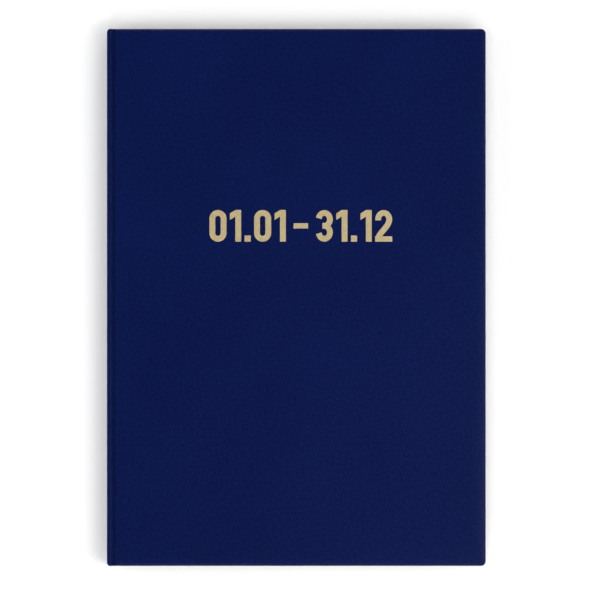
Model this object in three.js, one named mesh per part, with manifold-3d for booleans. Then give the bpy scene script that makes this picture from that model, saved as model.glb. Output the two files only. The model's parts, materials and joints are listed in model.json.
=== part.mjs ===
// A case-bound ledger book, closed and lying on its back cover.
// Millimetres. +Z is up, +Y points to the head, +X to the fore-edge, and the spine is at -X.
// The origin is under the middle of the cover, on the surface that the book lies on.
import * as THREE from "three";
import { mergeVertices } from "three/addons/utils/BufferGeometryUtils.js";
import Module from "manifold-3d";

const wasm = await Module();
wasm.setup();

// Case: the boards and the cloth that is drawn over them
const COVER_WIDTH = 209.5;
const COVER_HEIGHT = 297;
const BOARD_THICKNESS = 1.75;
const SPINE_STRIP_THICKNESS = 1.75;
const CLOTH_THICKNESS = 0.35;
const CLOTH_INNER_BEND = 0.1;
const TURN_IN_WIDTH = 15;
const COVER_CORNER_RADIUS = 2;
const COVER_EDGE_RADIUS = 0.6;
const GLUE_LINE = 0.04;
const CLOTH_SEAM = 0.06;

// Joint groove: the cloth hinge between the spine strip and each board
const GROOVE_WIDTH = 2.5;
const GROOVE_DEPTH = 1.7;
const GROOVE_FLOOR_BEND = 0.7;
const JOINT_OVERLAP_ON_BOARD = 0.6;
const JOINT_OVERLAP_ON_SPINE = 0.15;
const SPINE_SHORT_AT_TAIL = 0.8;

// Endpapers: a folded sheet in front and one behind, half pasted to the board
const ENDPAPER_THICKNESS = 0.15;
const PASTEDOWN_BORDER = 3;
const PASTEDOWN_HINGE_INSET = 0.3;
const PASTEDOWN_WINDOW_CLEARANCE = 0.1;
const COVER_TO_BLOCK_CLEARANCE = 0.15;
const FLYLEAF_CLEARANCE = 0.05;
const ENDPAPER_FOLD_CLEARANCE = 0.12;

// Book block: sewn sections of folded sheets
const SQUARE = 3.5;
const BLOCK_BACK_FROM_SPINE_FACE = 3;
const SECTION_COUNT = 6;
const FRONT_SECTION_COUNT = 3;
const LEAVES_PER_SECTION = 16;
const LEAF_THICKNESS = 0.09;
const SECTION_CLEARANCE = 0.03;
const LOOSE_LEAF_COUNT = 6;
const LOOSE_LEAF_CLEARANCE = 0.02;
const THREAD_DIAMETER = 0.3;
const THREAD_END_MARGIN = 22;
const LINING_THICKNESS = 0.2;
const LINING_END_MARGIN = 17;

// Gold foil figures on the front cover
const FIGURE_HEIGHT = 17.5;
const FIGURE_WIDTH = 9.4;
const ONE_WIDTH = 6.2;
const ONE_FLAG_DROP = 3.4;
const ONE_FLAG_THICKNESS = 3.6;
const FULL_STOP_SIZE = 3.4;
const RULE_WIDTH = 8;
const RULE_THICKNESS = 2.9;
const FIGURE_STROKE = 3.2;
const FIGURE_SPACING = 1.9;
const RULE_SPACING = 4.3;
const FIGURES_CENTRE_X = 2.5;
const FIGURES_CENTRE_FROM_HEAD = 108.9;
const FOIL_THICKNESS = 0.05;
const FOIL_SEAT = 0.01;

// How finely round stretches are drawn
const BEND_STEPS = 5;
const FOLD_STEPS = 8;
const CORNER_STEPS = 6;
const FIGURE_STEPS = 14;
const EDGE_STEPS = 3;
const THREAD_SIDES = 8;

// Levels of one cover, counted from its outer face
const boardLow = CLOTH_THICKNESS + GLUE_LINE;
const boardHigh = boardLow + BOARD_THICKNESS;
const turnInLow = boardHigh + GLUE_LINE;
const turnInHigh = turnInLow + CLOTH_THICKNESS;
const pastedownLow = turnInHigh + GLUE_LINE;
const coverThickness = pastedownLow + ENDPAPER_THICKNESS;

// Levels of the block, counted from the outer face of the back cover
const sectionThickness = LEAVES_PER_SECTION * LEAF_THICKNESS;
const sectionPitch = sectionThickness + SECTION_CLEARANCE;
const looseLeafPitch = LEAF_THICKNESS + LOOSE_LEAF_CLEARANCE;
const flyleafLow = coverThickness + COVER_TO_BLOCK_CLEARANCE;
const blockLow = flyleafLow + ENDPAPER_THICKNESS + FLYLEAF_CLEARANCE;
const blockThickness = (
  SECTION_COUNT * sectionPitch - SECTION_CLEARANCE + LOOSE_LEAF_COUNT * LOOSE_LEAF_CLEARANCE
);
const bookThickness = blockThickness + 2 * blockLow;

// Places across the book
const spineFace = -COVER_WIDTH / 2;
const foreEdge = COVER_WIDTH / 2;
const coverHead = COVER_HEIGHT / 2;
const spineTail = -coverHead + SPINE_SHORT_AT_TAIL;
const clothLayer = CLOTH_THICKNESS + GLUE_LINE;
const stripOuter = spineFace + clothLayer;
const stripInner = stripOuter + SPINE_STRIP_THICKNESS;
const grooveNear = stripInner + clothLayer;
const grooveFar = grooveNear + GROOVE_WIDTH;
const boardHinge = grooveFar + clothLayer;
const clothSeam = boardHinge + JOINT_OVERLAP_ON_BOARD;
const jointWrap = GROOVE_DEPTH + CLOTH_THICKNESS + JOINT_OVERLAP_ON_SPINE;
const blockBack = spineFace + BLOCK_BACK_FROM_SPINE_FACE;
const blockFore = foreEdge - SQUARE;
const blockHead = coverHead - SQUARE;
const threadCentre = blockBack - GLUE_LINE - THREAD_DIAMETER / 2;
const liningInner = threadCentre - THREAD_DIAMETER / 2 - GLUE_LINE;

// Finishes
const cloth = { color: 0x0c1a49, roughness: 0.55, metalness: 0 };
const greyboard = { color: 0x8d8a80, roughness: 0.9, metalness: 0 };
const endpaper = { color: 0xf1efe8, roughness: 0.85, metalness: 0 };
const paper = { color: 0xf6f5f0, roughness: 0.9, metalness: 0 };
const thread = { color: 0xe9e6da, roughness: 0.8, metalness: 0 };
const lining = { color: 0xd9d2c0, roughness: 0.95, metalness: 0 };
const foil = { color: 0xb5a37c, roughness: 0.38, metalness: 0.85 };

const book = new THREE.Group();

function addPiece(parent, name, geometry, finish, height = 0) {
  const mesh = new THREE.Mesh(geometry, new THREE.MeshStandardMaterial(finish));
  mesh.name = name;
  mesh.position.z = height;
  parent.add(mesh);
  return mesh;
}

// Solid from a closed geometry, and a geometry from a solid
function solidOf(geometry) {
  const bare = geometry.clone();
  bare.deleteAttribute("normal");
  bare.deleteAttribute("uv");
  const merged = mergeVertices(bare);
  return new wasm.Manifold(new wasm.Mesh({
    numProp: 3,
    vertProperties: new Float32Array(merged.attributes.position.array),
    triVerts: new Uint32Array(merged.index.array),
  }));
}

function geometryOf(solid) {
  const mesh = solid.getMesh();
  const geometry = new THREE.BufferGeometry();
  geometry.setAttribute("position", new THREE.BufferAttribute(mesh.vertProperties, 3));
  geometry.setIndex(new THREE.BufferAttribute(mesh.triVerts, 1));
  return geometry;
}

// A plain slab between two corners
function slab([x0, y0, z0], [x1, y1, z1]) {
  const geometry = new THREE.BoxGeometry(x1 - x0, y1 - y0, z1 - z0);
  geometry.translate((x0 + x1) / 2, (y0 + y1) / 2, (z0 + z1) / 2);
  return geometry;
}

// A plan outline that is square at the hinge side and has rounded corners at the fore-edge
function leafOutline(hingeSide, foreSide, halfHeight, radius) {
  const outline = new THREE.Shape();
  outline.moveTo(hingeSide, -halfHeight);
  outline.lineTo(foreSide - radius, -halfHeight);
  outline.absarc(foreSide - radius, -halfHeight + radius, radius, -Math.PI / 2, 0, false);
  outline.lineTo(foreSide, halfHeight - radius);
  outline.absarc(foreSide - radius, halfHeight - radius, radius, 0, Math.PI / 2, false);
  outline.lineTo(hingeSide, halfHeight);
  outline.closePath();
  return outline;
}

// The same outline as a plate between two levels
function plate(outline, low, high) {
  const geometry = new THREE.ExtrudeGeometry(outline, {
    depth: high - low,
    bevelEnabled: false,
    curveSegments: CORNER_STEPS,
  });
  geometry.translate(0, 0, low);
  return geometry;
}

// A line of corner points with each inner corner rounded to its own radius
function roundedLine(corners) {
  const line = [];
  corners.forEach(([x, y, radius], i) => {
    const corner = new THREE.Vector2(x, y);
    if (!radius) {
      line.push(corner);
      return;
    }
    const back = new THREE.Vector2(...corners[i - 1]).sub(corner).normalize();
    const ahead = new THREE.Vector2(...corners[i + 1]).sub(corner).normalize();
    const half = Math.acos(THREE.MathUtils.clamp(back.dot(ahead), -1, 1)) / 2;
    const reach = radius / Math.tan(half);
    const centre = back.clone().add(ahead).normalize().multiplyScalar(radius / Math.sin(half)).add(corner);
    const from = back.clone().multiplyScalar(reach).add(corner).sub(centre);
    const to = ahead.clone().multiplyScalar(reach).add(corner).sub(centre);
    const turn = Math.atan2(from.cross(to), from.dot(to));
    for (let step = 0; step <= BEND_STEPS; step += 1) {
      line.push(from.clone().rotateAround(new THREE.Vector2(), turn * step / BEND_STEPS).add(centre));
    }
  });
  return line;
}

// A band of even thickness along a line, as a closed outline
function band(line, thickness) {
  const left = [];
  const right = [];
  line.forEach((point, i) => {
    const before = line[Math.max(i - 1, 0)];
    const after = line[Math.min(i + 1, line.length - 1)];
    const inward = point.clone().sub(before).normalize();
    const outward = after.clone().sub(point).normalize();
    const along = inward.add(outward).normalize();
    const across = new THREE.Vector2(-along.y, along.x).multiplyScalar(thickness / 2);
    left.push(point.clone().add(across));
    right.push(point.clone().sub(across));
  });
  return new THREE.Shape(left.concat(right.reverse()));
}

// A cross-section in X and Z, run along Y from one end to the other
function alongTheBook(section, tail, head, steps = BEND_STEPS) {
  const geometry = new THREE.ExtrudeGeometry(section, {
    depth: head - tail,
    bevelEnabled: false,
    curveSegments: steps,
  });
  geometry.rotateX(Math.PI / 2);
  geometry.translate(0, head, 0);
  return geometry;
}

// What is made for the back cover, turned over to stand at the front
function turnedOver(geometry) {
  const front = geometry.clone();
  front.rotateX(Math.PI);
  front.translate(0, 0, bookThickness);
  return front;
}

// Board of one cover
function boardGeometry() {
  const outline = leafOutline(
    boardHinge, foreEdge - clothLayer, coverHead - clothLayer, COVER_CORNER_RADIUS - clothLayer,
  );
  return plate(outline, boardLow, boardHigh);
}

// Cloth of one cover: over the outer face, round three edges and turned in on the inner face
function coverClothGeometry() {
  const outline = leafOutline(boardHinge - TURN_IN_WIDTH, foreEdge, coverHead, COVER_CORNER_RADIUS);
  const wrapped = new THREE.ExtrudeGeometry(outline, {
    depth: turnInHigh - 2 * COVER_EDGE_RADIUS,
    bevelThickness: COVER_EDGE_RADIUS,
    bevelSize: COVER_EDGE_RADIUS,
    bevelOffset: -COVER_EDGE_RADIUS,
    bevelSegments: EDGE_STEPS,
    curveSegments: CORNER_STEPS,
  });
  wrapped.translate(0, 0, COVER_EDGE_RADIUS);
  const hingeCut = slab(
    [spineFace - TURN_IN_WIDTH, -COVER_HEIGHT, -turnInHigh],
    [clothSeam + CLOTH_SEAM / 2, COVER_HEIGHT, 2 * turnInHigh],
  );
  const boardRoom = plate(
    leafOutline(
      boardHinge - TURN_IN_WIDTH, foreEdge - CLOTH_THICKNESS,
      coverHead - CLOTH_THICKNESS, COVER_CORNER_RADIUS - CLOTH_THICKNESS,
    ),
    CLOTH_THICKNESS, turnInLow,
  );
  const window = slab(
    [spineFace, -coverHead + TURN_IN_WIDTH, boardHigh],
    [foreEdge - TURN_IN_WIDTH, coverHead - TURN_IN_WIDTH, 2 * turnInHigh],
  );
  const shell = solidOf(wrapped)
    .subtract(solidOf(hingeCut))
    .subtract(solidOf(boardRoom))
    .subtract(solidOf(window));
  return geometryOf(shell);
}

// Cloth hinge of one cover: up the spine, over the shoulder, down into the groove and onto the board.
// The shoulder ends with the spine, and the groove ends with the covers
function jointClothGeometry(tail, head) {
  const middle = CLOTH_THICKNESS / 2;
  const bend = CLOTH_INNER_BEND + middle;
  const floor = GROOVE_DEPTH + middle;
  const line = roundedLine([
    [spineFace + middle, jointWrap, 0],
    [spineFace + middle, middle, bend],
    [grooveNear - middle, middle, bend],
    [grooveNear - middle, floor, GROOVE_FLOOR_BEND],
    [grooveFar + middle, floor, GROOVE_FLOOR_BEND],
    [grooveFar + middle, middle, bend],
    [clothSeam - CLOTH_SEAM / 2, middle, 0],
  ]);
  const cloth = alongTheBook(band(line, CLOTH_THICKNESS), tail, head);
  const corners = cloth.attributes.position;
  for (let i = 0; i < corners.count; i += 1) {
    if (corners.getX(i) > grooveNear) {
      corners.setY(i, Math.sign(corners.getY(i)) * coverHead);
    }
  }
  return cloth;
}

// Cloth over the spine strip, turned in over its head and tail
function spineClothGeometry() {
  const middle = CLOTH_THICKNESS / 2;
  const bend = CLOTH_INNER_BEND + middle;
  const outer = spineFace + middle;
  const inner = stripInner + GLUE_LINE + middle;
  const line = roundedLine([
    [inner, coverHead - TURN_IN_WIDTH, 0],
    [inner, coverHead - middle, bend],
    [outer, coverHead - middle, bend],
    [outer, spineTail + middle, bend],
    [inner, spineTail + middle, bend],
    [inner, spineTail + TURN_IN_WIDTH, 0],
  ]);
  return plate(
    band(line, CLOTH_THICKNESS),
    jointWrap + CLOTH_SEAM, bookThickness - jointWrap - CLOTH_SEAM,
  );
}

// Pasted half of an endpaper: its rim lies on the turned-in cloth and its middle on the board
function pastedownGeometry() {
  const hingeSide = boardHinge + PASTEDOWN_HINGE_INSET;
  const sunkFore = foreEdge - TURN_IN_WIDTH - PASTEDOWN_WINDOW_CLEARANCE;
  const sunkHead = coverHead - TURN_IN_WIDTH - PASTEDOWN_WINDOW_CLEARANCE;
  const rim = slab(
    [hingeSide, -coverHead + PASTEDOWN_BORDER, pastedownLow],
    [foreEdge - PASTEDOWN_BORDER, coverHead - PASTEDOWN_BORDER, coverThickness],
  );
  const sunk = slab([hingeSide, -sunkHead, turnInLow], [sunkFore, sunkHead, coverThickness]);
  const hollow = slab(
    [hingeSide - TURN_IN_WIDTH, -sunkHead + ENDPAPER_THICKNESS, turnInLow + ENDPAPER_THICKNESS],
    [sunkFore - ENDPAPER_THICKNESS, sunkHead - ENDPAPER_THICKNESS, 2 * coverThickness],
  );
  return geometryOf(solidOf(rim).add(solidOf(sunk)).subtract(solidOf(hollow)));
}

// Fold of an endpaper, across the joint from the board to the block
function endpaperFoldGeometry() {
  const middle = ENDPAPER_THICKNESS / 2;
  const boardEnd = boardHinge + PASTEDOWN_HINGE_INSET - ENDPAPER_FOLD_CLEARANCE;
  const line = roundedLine([
    [boardEnd, turnInLow + middle, 0],
    [grooveFar, turnInLow + middle, GROOVE_FLOOR_BEND],
    [grooveNear + GROOVE_FLOOR_BEND, flyleafLow - middle - ENDPAPER_FOLD_CLEARANCE, 0],
  ]);
  return alongTheBook(band(line, ENDPAPER_THICKNESS), -blockHead, blockHead);
}

// A section of folded sheets, with its fold rounded along the back
function sectionGeometry(thickness) {
  const radius = thickness / 2;
  const outline = new THREE.Shape();
  outline.moveTo(blockBack + radius, 0);
  outline.lineTo(blockFore, 0);
  outline.lineTo(blockFore, thickness);
  outline.lineTo(blockBack + radius, thickness);
  outline.absarc(blockBack + radius, radius, radius, Math.PI / 2, Math.PI * 1.5, false);
  return alongTheBook(outline, -blockHead, blockHead, FOLD_STEPS);
}

// One flat leaf of the block's size
function leafGeometry(thickness) {
  return slab([blockBack, -blockHead, 0], [blockFore, blockHead, thickness]);
}

// Sewing thread along the fold of one section
function threadGeometry() {
  const round = new THREE.Shape();
  round.absarc(threadCentre, 0, THREAD_DIAMETER / 2, 0, 2 * Math.PI, false);
  const end = blockHead - THREAD_END_MARGIN;
  return alongTheBook(round, -end, end, THREAD_SIDES);
}

// Figures for the foil, each standing on the base line with its left side at zero
function strokeSolid(line) {
  return solidOf(plate(band(line, FIGURE_STROKE), 0, FOIL_THICKNESS));
}

function bowl(centreY, from, to) {
  const reach = (FIGURE_WIDTH - FIGURE_STROKE) / 2;
  const rise = (FIGURE_HEIGHT - FIGURE_STROKE) / 4;
  return new THREE.EllipseCurve(FIGURE_WIDTH / 2, centreY, reach, rise, from, to, true)
    .getPoints(FIGURE_STEPS);
}

function zeroSolid() {
  const outer = FIGURE_WIDTH / 2;
  const inner = outer - FIGURE_STROKE;
  const outline = new THREE.Shape();
  outline.absarc(outer, outer, outer, Math.PI, 2 * Math.PI, false);
  outline.absarc(outer, FIGURE_HEIGHT - outer, outer, 0, Math.PI, false);
  const counter = new THREE.Path();
  counter.absarc(outer, outer, inner, Math.PI, 2 * Math.PI, false);
  counter.absarc(outer, FIGURE_HEIGHT - outer, inner, 0, Math.PI, false);
  outline.holes.push(counter);
  return solidOf(new THREE.ExtrudeGeometry(outline, {
    depth: FOIL_THICKNESS,
    bevelEnabled: false,
    curveSegments: FIGURE_STEPS,
  }));
}

function oneSolid() {
  const stem = ONE_WIDTH - FIGURE_STROKE;
  const outline = new THREE.Shape();
  outline.moveTo(stem, 0);
  outline.lineTo(ONE_WIDTH, 0);
  outline.lineTo(ONE_WIDTH, FIGURE_HEIGHT);
  outline.lineTo(stem, FIGURE_HEIGHT);
  outline.lineTo(0, FIGURE_HEIGHT - ONE_FLAG_DROP + stem / 2);
  outline.lineTo(0, FIGURE_HEIGHT - ONE_FLAG_DROP + stem / 2 - ONE_FLAG_THICKNESS);
  outline.lineTo(stem, FIGURE_HEIGHT - ONE_FLAG_THICKNESS);
  outline.closePath();
  return solidOf(plate(outline, 0, FOIL_THICKNESS));
}

function twoSolid() {
  const rise = (FIGURE_HEIGHT - FIGURE_STROKE) / 4;
  const top = bowl(FIGURE_HEIGHT - FIGURE_STROKE / 2 - rise, Math.PI * 1.05, -Math.PI * 0.1);
  const turn = top[top.length - 1];
  const foot = new THREE.Vector2(FIGURE_STROKE / 2, FIGURE_STROKE / 2);
  const sweep = new THREE.CubicBezierCurve(
    turn,
    new THREE.Vector2(turn.x - FIGURE_STROKE / 4, turn.y - rise),
    new THREE.Vector2(foot.x + FIGURE_STROKE / 4, foot.y + rise),
    foot,
  ).getPoints(FIGURE_STEPS);
  const base = slab([0, 0, 0], [FIGURE_WIDTH, FIGURE_STROKE * 0.92, FOIL_THICKNESS]);
  const swept = strokeSolid(top.concat(sweep.slice(1)));
  const frame = slab([0, 0, -FOIL_THICKNESS], [FIGURE_WIDTH, FIGURE_HEIGHT, 2 * FOIL_THICKNESS]);
  return swept.intersect(solidOf(frame)).add(solidOf(base));
}

function threeSolid() {
  const rise = (FIGURE_HEIGHT - FIGURE_STROKE) / 4;
  const waist = new THREE.Vector2(FIGURE_WIDTH / 2 - FIGURE_STROKE / 3, FIGURE_HEIGHT / 2);
  const top = bowl(FIGURE_HEIGHT / 2 + rise, Math.PI * 0.95, -Math.PI / 2);
  const bottom = bowl(FIGURE_HEIGHT / 2 - rise, Math.PI / 2, -Math.PI * 0.95);
  return strokeSolid(top.concat([waist])).add(strokeSolid([waist].concat(bottom)));
}

function fullStopSolid() {
  return solidOf(slab([0, 0, 0], [FULL_STOP_SIZE, FULL_STOP_SIZE, FOIL_THICKNESS]));
}

function ruleSolid() {
  const low = (FIGURE_HEIGHT - RULE_THICKNESS) / 2;
  return solidOf(slab([0, low, 0], [RULE_WIDTH, low + RULE_THICKNESS, FOIL_THICKNESS]));
}

const FIGURES = {
  zero: { solid: zeroSolid, width: FIGURE_WIDTH, spacing: FIGURE_SPACING },
  one: { solid: oneSolid, width: ONE_WIDTH, spacing: FIGURE_SPACING },
  two: { solid: twoSolid, width: FIGURE_WIDTH, spacing: FIGURE_SPACING },
  three: { solid: threeSolid, width: FIGURE_WIDTH, spacing: FIGURE_SPACING },
  stop: { solid: fullStopSolid, width: FULL_STOP_SIZE, spacing: FIGURE_SPACING },
  rule: { solid: ruleSolid, width: RULE_WIDTH, spacing: RULE_SPACING },
};

// First day to last day of a book year, in plain figures
const FIGURE_ROW = [
  "zero", "one", "stop", "zero", "one", "rule", "three", "one", "stop", "one", "two",
];

function addFigures(parent) {
  const gaps = FIGURE_ROW.slice(1).map((name, i) => (
    Math.max(FIGURES[name].spacing, FIGURES[FIGURE_ROW[i]].spacing)
  ));
  const widths = FIGURE_ROW.map((name) => FIGURES[name].width);
  const rowWidth = widths.concat(gaps).reduce((sum, width) => sum + width, 0);
  let left = FIGURES_CENTRE_X - rowWidth / 2;
  FIGURE_ROW.forEach((name, i) => {
    const figure = geometryOf(FIGURES[name].solid());
    const label = `foil_figure_${String(i + 1).padStart(2, "0")}`;
    const mesh = addPiece(parent, label, figure, foil, bookThickness + FOIL_SEAT);
    mesh.position.x = left;
    mesh.position.y = coverHead - FIGURES_CENTRE_FROM_HEAD - FIGURE_HEIGHT / 2;
    left += widths[i] + (gaps[i] ?? 0);
  });
}

// Back cover and the half of the block that stays on it
function buildBackCover() {
  const group = new THREE.Group();
  addPiece(group, "back_board", boardGeometry(), greyboard);
  addPiece(group, "back_cover_cloth", coverClothGeometry(), cloth);
  addPiece(group, "back_joint_cloth", jointClothGeometry(spineTail, coverHead), cloth);
  addPiece(group, "back_pastedown", pastedownGeometry(), endpaper);
  addPiece(group, "back_endpaper_fold", endpaperFoldGeometry(), endpaper);
  addPiece(group, "back_flyleaf", leafGeometry(ENDPAPER_THICKNESS), endpaper, flyleafLow);
  return group;
}

// Front cover, with its foil figures
function buildFrontCover() {
  const group = new THREE.Group();
  addPiece(group, "front_board", turnedOver(boardGeometry()), greyboard);
  addPiece(group, "front_cover_cloth", turnedOver(coverClothGeometry()), cloth);
  addPiece(group, "front_pastedown", turnedOver(pastedownGeometry()), endpaper);
  addFigures(group);
  return group;
}

// Spine strip in its cloth, and the cloth hinge that carries the front cover
function buildSpine() {
  const group = new THREE.Group();
  const strip = slab(
    [stripOuter, spineTail + clothLayer, boardLow],
    [stripInner, coverHead - clothLayer, bookThickness - boardLow],
  );
  addPiece(group, "spine_strip", strip, greyboard);
  addPiece(group, "spine_cloth", spineClothGeometry(), cloth);
  const frontJoint = turnedOver(jointClothGeometry(-coverHead, -spineTail));
  addPiece(group, "front_joint_cloth", frontJoint, cloth);
  addPiece(group, "front_endpaper_fold", turnedOver(endpaperFoldGeometry()), endpaper);
  return group;
}

// The block, from the front section down to the back one, with the leaves that turn singly
// between the halves
function buildBlock() {
  const group = new THREE.Group();
  const looseThickness = LOOSE_LEAF_COUNT * looseLeafPitch;
  let level = bookThickness - blockLow;
  for (let number = 1; number <= SECTION_COUNT; number += 1) {
    const isLastInFront = number === FRONT_SECTION_COUNT;
    const loose = isLastInFront ? LOOSE_LEAF_COUNT * LEAF_THICKNESS : 0;
    const thickness = sectionThickness - loose;
    level -= thickness;
    addPiece(group, `section_${number}`, sectionGeometry(thickness), paper, level);
    const fold = level + thickness / 2;
    addPiece(group, `sewing_thread_${number}`, threadGeometry(), thread, fold);
    level -= isLastInFront ? looseThickness + SECTION_CLEARANCE : SECTION_CLEARANCE;
  }
  const middle = blockLow + (SECTION_COUNT - FRONT_SECTION_COUNT) * sectionPitch;
  for (let number = 1; number <= LOOSE_LEAF_COUNT; number += 1) {
    const low = middle + (LOOSE_LEAF_COUNT - number) * looseLeafPitch;
    addPiece(group, `leaf_${number}`, leafGeometry(LEAF_THICKNESS), paper, low);
  }
  const frontFlyleaf = bookThickness - flyleafLow - ENDPAPER_THICKNESS;
  addPiece(group, "front_flyleaf", leafGeometry(ENDPAPER_THICKNESS), endpaper, frontFlyleaf);
  const spineLining = slab(
    [liningInner - LINING_THICKNESS, -blockHead + LINING_END_MARGIN, blockLow],
    [liningInner, blockHead - LINING_END_MARGIN, bookThickness - blockLow],
  );
  addPiece(group, "spine_lining", spineLining, lining);
  return group;
}

book.add(buildBackCover(), buildBlock(), buildSpine(), buildFrontCover());

export default book;
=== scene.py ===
"""Looks of a case-bound ledger book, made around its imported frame.

Everything is in metres. +Z is up, +Y points to the head, +X to the fore-edge, and the spine is at -X.
The closed book lies on its back cover, and the camera looks straight down on the front cover.
"""

import json
import logging
import math
import random
from dataclasses import dataclass, field
from enum import Enum

import bmesh
import bpy
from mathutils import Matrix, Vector

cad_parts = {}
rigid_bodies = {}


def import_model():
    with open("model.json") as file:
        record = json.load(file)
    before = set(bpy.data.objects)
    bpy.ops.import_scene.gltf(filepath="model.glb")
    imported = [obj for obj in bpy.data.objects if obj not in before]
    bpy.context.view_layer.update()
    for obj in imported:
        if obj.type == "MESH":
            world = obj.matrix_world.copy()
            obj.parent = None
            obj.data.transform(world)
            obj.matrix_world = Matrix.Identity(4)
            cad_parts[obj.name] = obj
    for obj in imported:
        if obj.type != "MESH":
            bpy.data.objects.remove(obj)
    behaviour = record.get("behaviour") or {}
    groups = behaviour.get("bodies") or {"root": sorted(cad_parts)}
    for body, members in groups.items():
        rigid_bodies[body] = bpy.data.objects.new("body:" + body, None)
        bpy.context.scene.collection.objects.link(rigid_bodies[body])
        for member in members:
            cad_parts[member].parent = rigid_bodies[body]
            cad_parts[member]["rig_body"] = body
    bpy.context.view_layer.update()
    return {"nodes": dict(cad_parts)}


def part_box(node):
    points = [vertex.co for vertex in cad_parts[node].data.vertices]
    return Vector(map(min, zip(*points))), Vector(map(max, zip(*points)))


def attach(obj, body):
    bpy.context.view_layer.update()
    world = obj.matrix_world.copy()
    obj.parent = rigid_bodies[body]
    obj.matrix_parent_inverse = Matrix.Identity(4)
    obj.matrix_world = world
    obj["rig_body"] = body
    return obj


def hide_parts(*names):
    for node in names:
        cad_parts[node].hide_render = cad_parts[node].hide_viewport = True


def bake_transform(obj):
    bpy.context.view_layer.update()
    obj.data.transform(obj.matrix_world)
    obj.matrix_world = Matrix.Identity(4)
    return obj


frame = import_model()

LOG = logging.getLogger("ledger_book")
MM = 0.001
WELD = 0.0005 * MM
SHEET_CREASE = 50.0
BODY_CREASE = 40.0
ARC_STEPS = 8
FOLD_STEPS = 6
REST = "rest"
SEED = 7
NOISE_RANGE = (0.3, 0.7)
WHOLE = (0.0, 1.0)
GLUE = 0.04 * MM
SEAM_FROM_BOARD = 0.04 * MM
TURN_IN = 15 * MM
PASTE_RIDGE = (-0.9 * MM, 0.5 * MM)
STRETCHED = 0.95
STRETCHED_IN_JOINT = 0.85

Pair = tuple[float, float]
Point = tuple[float, float, float]
Colour = tuple[float, float, float]
Station = tuple[int, float, float]
Socket = bpy.types.NodeSocket
Value = Socket | float | Colour


class Body(Enum):
    """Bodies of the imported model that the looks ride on."""

    BACK_COVER = "back_cover"
    FRONT_BLOCK = "front_block"
    SPINE = "spine"
    FRONT_HINGE = "front_hinge"
    FRONT_COVER = "front_cover"


class Slot(Enum):
    """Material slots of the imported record."""

    CLOTH = "cover_cloth"
    BOARD = "greyboard"
    ENDPAPER = "endpaper"
    PAGE = "page_paper"
    THREAD = "sewing_thread"
    LINING = "spine_lining"
    FOIL = "gold_foil"


class Side(Enum):
    """Which cover a piece belongs to."""

    BACK = "back"
    FRONT = "front"

    @property
    def outward(self) -> Vector:
        """Where that cover's outer face looks."""
        return Vector((0, 0, -1 if self is Side.BACK else 1))


def spaced(start: float, end: float, steps: int = ARC_STEPS) -> list[float]:
    """Evenly spaced values from a start to an end, both among them."""
    return [start + (end - start) * i / steps for i in range(steps + 1)]


def ease(share: float) -> float:
    """A soft rise from 0 to 1, flat at both ends and beyond them."""
    held = min(max(share, 0.0), 1.0)
    return held * held * (3 - 2 * held)


def quarter(centre: Pair, reach: Pair, start: float) -> list[Pair]:
    """A quarter of an ellipse from a start angle in degrees; a negative reach mirrors it."""
    angles = [math.radians(a) for a in spaced(start, start + 90)]
    return [(centre[0] + reach[0] * math.cos(a), centre[1] + reach[1] * math.sin(a)) for a in angles]


def over_ridge(start: float, window: float, end: float, steps: int) -> list[float]:
    """Steps that lie close together where the pasted paper climbs onto the turned-in cloth.

    Args:
        start: First value, on the board.
        window: Where the turned-in cloth starts.
        end: Last value, on the turned-in cloth.
        steps: Number of intervals before the ridge.

    Returns:
        The values.
    """
    before = spaced(start, window + PASTE_RIDGE[0], steps)[:-1]
    ridge = [window + s for s in spaced(*PASTE_RIDGE, 7)]
    return before + ridge + spaced(window + PASTE_RIDGE[1], end, 3)[1:]


@dataclass
class Surface:
    """Points and faces of a piece while it is being made."""

    points: list[Point] = field(default_factory=list)
    faces: list[tuple[int, ...]] = field(default_factory=list)

    def add_rows(self, rows: list[list[Point]], closed: bool = False) -> None:
        """Adds a sheet of quads between rows of equal length.

        Args:
            rows: Rows of points.
            closed: Whether the last column joins the first.
        """
        base = len(self.points)
        width = len(rows[0])
        for row in rows:
            self.points.extend(row)
        last = width if closed else width - 1
        for r in range(len(rows) - 1):
            for c in range(last):
                a = base + r * width + c
                b = base + r * width + (c + 1) % width
                self.faces.append((a, b, b + width, a + width))


def mark_creases(mesh: bpy.types.Mesh, crease: float) -> None:
    """Shades a mesh smoothly, but leaves its quick turns sharp.

    Args:
        mesh: The mesh.
        crease: Angle in degrees above which an edge stays sharp.
    """
    work = bmesh.new()
    work.from_mesh(mesh)
    for face in work.faces:
        face.smooth = True
    for edge in work.edges:
        edge.smooth = len(edge.link_faces) != 2 or edge.calc_face_angle() < math.radians(crease)
    work.to_mesh(mesh)
    work.free()


def build_object(name: str, surface: Surface, crease: float = SHEET_CREASE) -> bpy.types.Object:
    """Makes a smooth-shaded mesh object, with sharp edges where the surface turns quickly.

    Args:
        name: Name of the piece.
        surface: Its points and faces.
        crease: Angle in degrees above which an edge stays sharp.

    Returns:
        The new object, linked to the scene.
    """
    mesh = bpy.data.meshes.new(name)
    mesh.from_pydata(surface.points, [], surface.faces)
    work = bmesh.new()
    work.from_mesh(mesh)
    bmesh.ops.remove_doubles(work, verts=work.verts, dist=WELD)
    bmesh.ops.dissolve_degenerate(work, edges=work.edges, dist=WELD)
    bmesh.ops.recalc_face_normals(work, faces=work.faces)
    work.to_mesh(mesh)
    work.free()
    mark_creases(mesh, crease)
    piece = bpy.data.objects.new(name, mesh)
    bpy.context.scene.collection.objects.link(piece)
    return piece


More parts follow.
